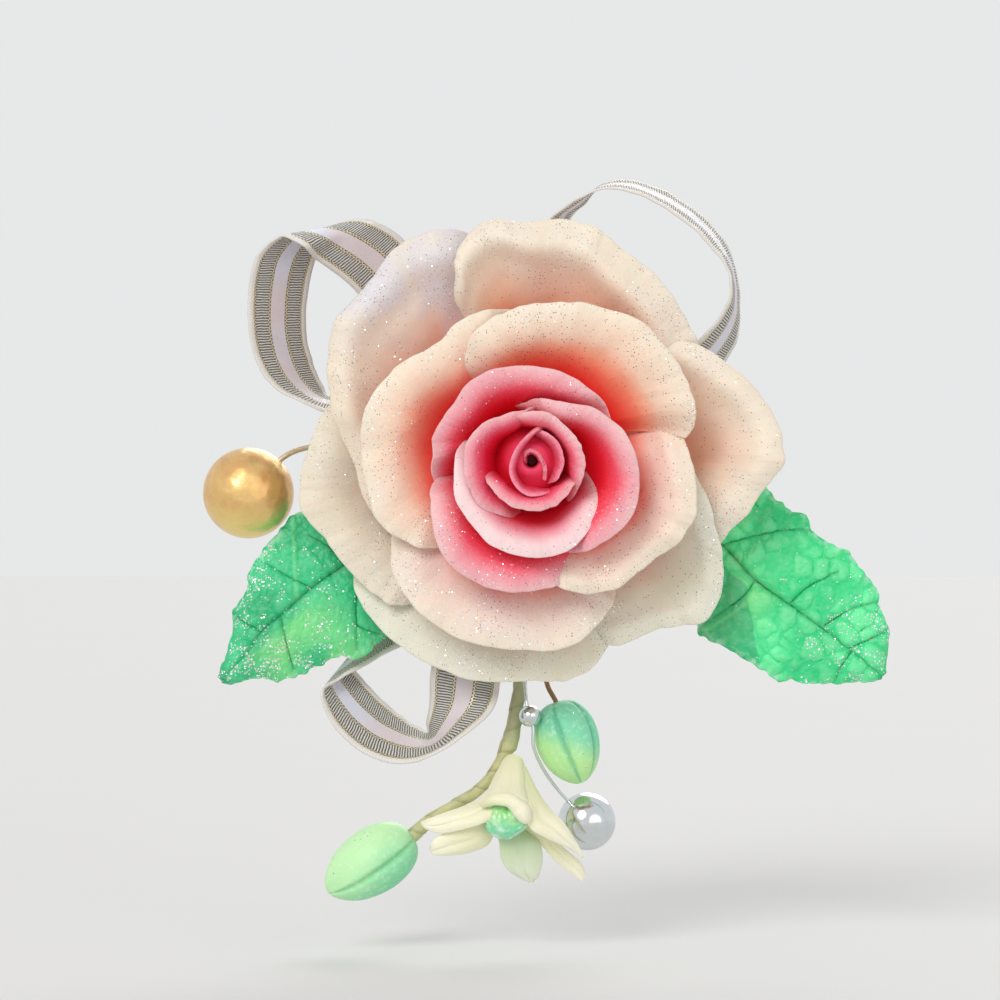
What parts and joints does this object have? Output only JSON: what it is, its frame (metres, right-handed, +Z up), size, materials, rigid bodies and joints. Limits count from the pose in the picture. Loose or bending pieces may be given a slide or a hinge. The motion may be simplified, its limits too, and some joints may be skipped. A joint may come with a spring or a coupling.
{
  "type": "flower brooch",
  "caption": "Handmade clay rose brooch with glittered leaves, ribbon loops, a gold pearl and a hanging sprig of buds, a blossom and silver beads, on a locking bar pin.",
  "frame": {"origin": "middle of the felt pad's back face, on the rose's own axis", "axes": "+Z up as worn, +X to the right seen from the front, the flower faces -Y"},
  "size_m": [0.1118, 0.0476, 0.118],
  "materials": {
    "clay_bud": "satin clay with fine glitter",
    "clay_pink": "satin clay shaded pink to crimson, with fine glitter",
    "clay_peach": "satin clay shaded cream to coral, with fine glitter",
    "clay_cream": "satin clay, cream, with fine glitter",
    "clay_plain": "bare clay",
    "leaf_green": "satin clay shaded emerald to mint, with iridescent glitter",
    "bud_green": "satin clay shaded light green to teal",
    "blossom_cream": "satin clay, pale yellow",
    "blossom_drop": "clear glossy resin",
    "stem_tape": "wound floral tape",
    "ribbon": "satin with ribbed side stripes",
    "gold_pearl": "pearl gold lacquer",
    "silver": "mirror silver",
    "wire": "bare drawn wire",
    "felt": "wool felt",
    "pin_steel": "nickel plated steel"
  },
  "bodies": {
    "flower": {"ribbon_loop_upper_left": "ribbon", "ribbon_loop_upper_right": "ribbon", "ribbon_loop_lower_left": "ribbon", "leaf_left": "leaf_green", "leaf_left_wire": "wire", "leaf_right": "leaf_green", "leaf_right_wire": "wire", "pearl_wire": "wire", "gold_pearl": "gold_pearl", "sprig_stem": "stem_tape", "bud_left": "bud_green", "bud_right_wire": "wire", "bud_right": "bud_green", "silver_wire": "silver", "silver_bead_small": "silver", "silver_bead_large": "silver", "blossom_tube": "blossom_cream", "blossom_centre": "blossom_drop", "blossom_petal_upper_left": "blossom_cream", "blossom_petal_lower_left": "blossom_cream", "blossom_petal_bottom": "blossom_cream", "blossom_petal_lower_right": "blossom_cream", "blossom_petal_upper_right": "blossom_cream", "blossom_petal_front": "blossom_cream", "bud_roll": "clay_bud", "bud_wrap_left": "clay_bud", "bud_wrap_right": "clay_bud", "petal_inner_1": "clay_pink", "petal_inner_2": "clay_pink", "petal_inner_3": "clay_pink", "petal_pink_1": "clay_pink", "petal_pink_2": "clay_pink", "petal_pink_3": "clay_pink", "petal_pink_4": "clay_pink", "petal_middle_1": "clay_peach", "petal_middle_2": "clay_peach", "petal_middle_3": "clay_peach", "petal_middle_4": "clay_peach", "petal_outer_1": "clay_cream", "petal_outer_2": "clay_cream", "petal_outer_3": "clay_cream", "petal_outer_4": "clay_cream", "petal_outer_5": "clay_cream", "petal_outer_6": "clay_cream", "rose_core": "clay_plain", "flower_base": "clay_plain", "felt_pad": "felt", "pin_bar": "pin_steel", "hinge_bracket": "pin_steel", "hinge_rivet": "pin_steel", "catch_shell": "pin_steel"},
    "pin_stem": {"pin_stem": "pin_steel"},
    "catch_collar": {"catch_collar": "pin_steel"}
  },
  "joints": [
    {"name": "pin_hinge", "type": "hinge", "parent": "flower", "child": "pin_stem", "pos_m": [-0.016, 0.0063, 0.0065], "axis": [0, 0, 1], "range_deg": [0, 105]},
    {"name": "catch_turn", "type": "hinge", "parent": "flower", "child": "catch_collar", "pos_m": [0.016, 0.0063, 0.0065], "axis": [1, 0, 0], "range_deg": [0, 110]}
  ]
}
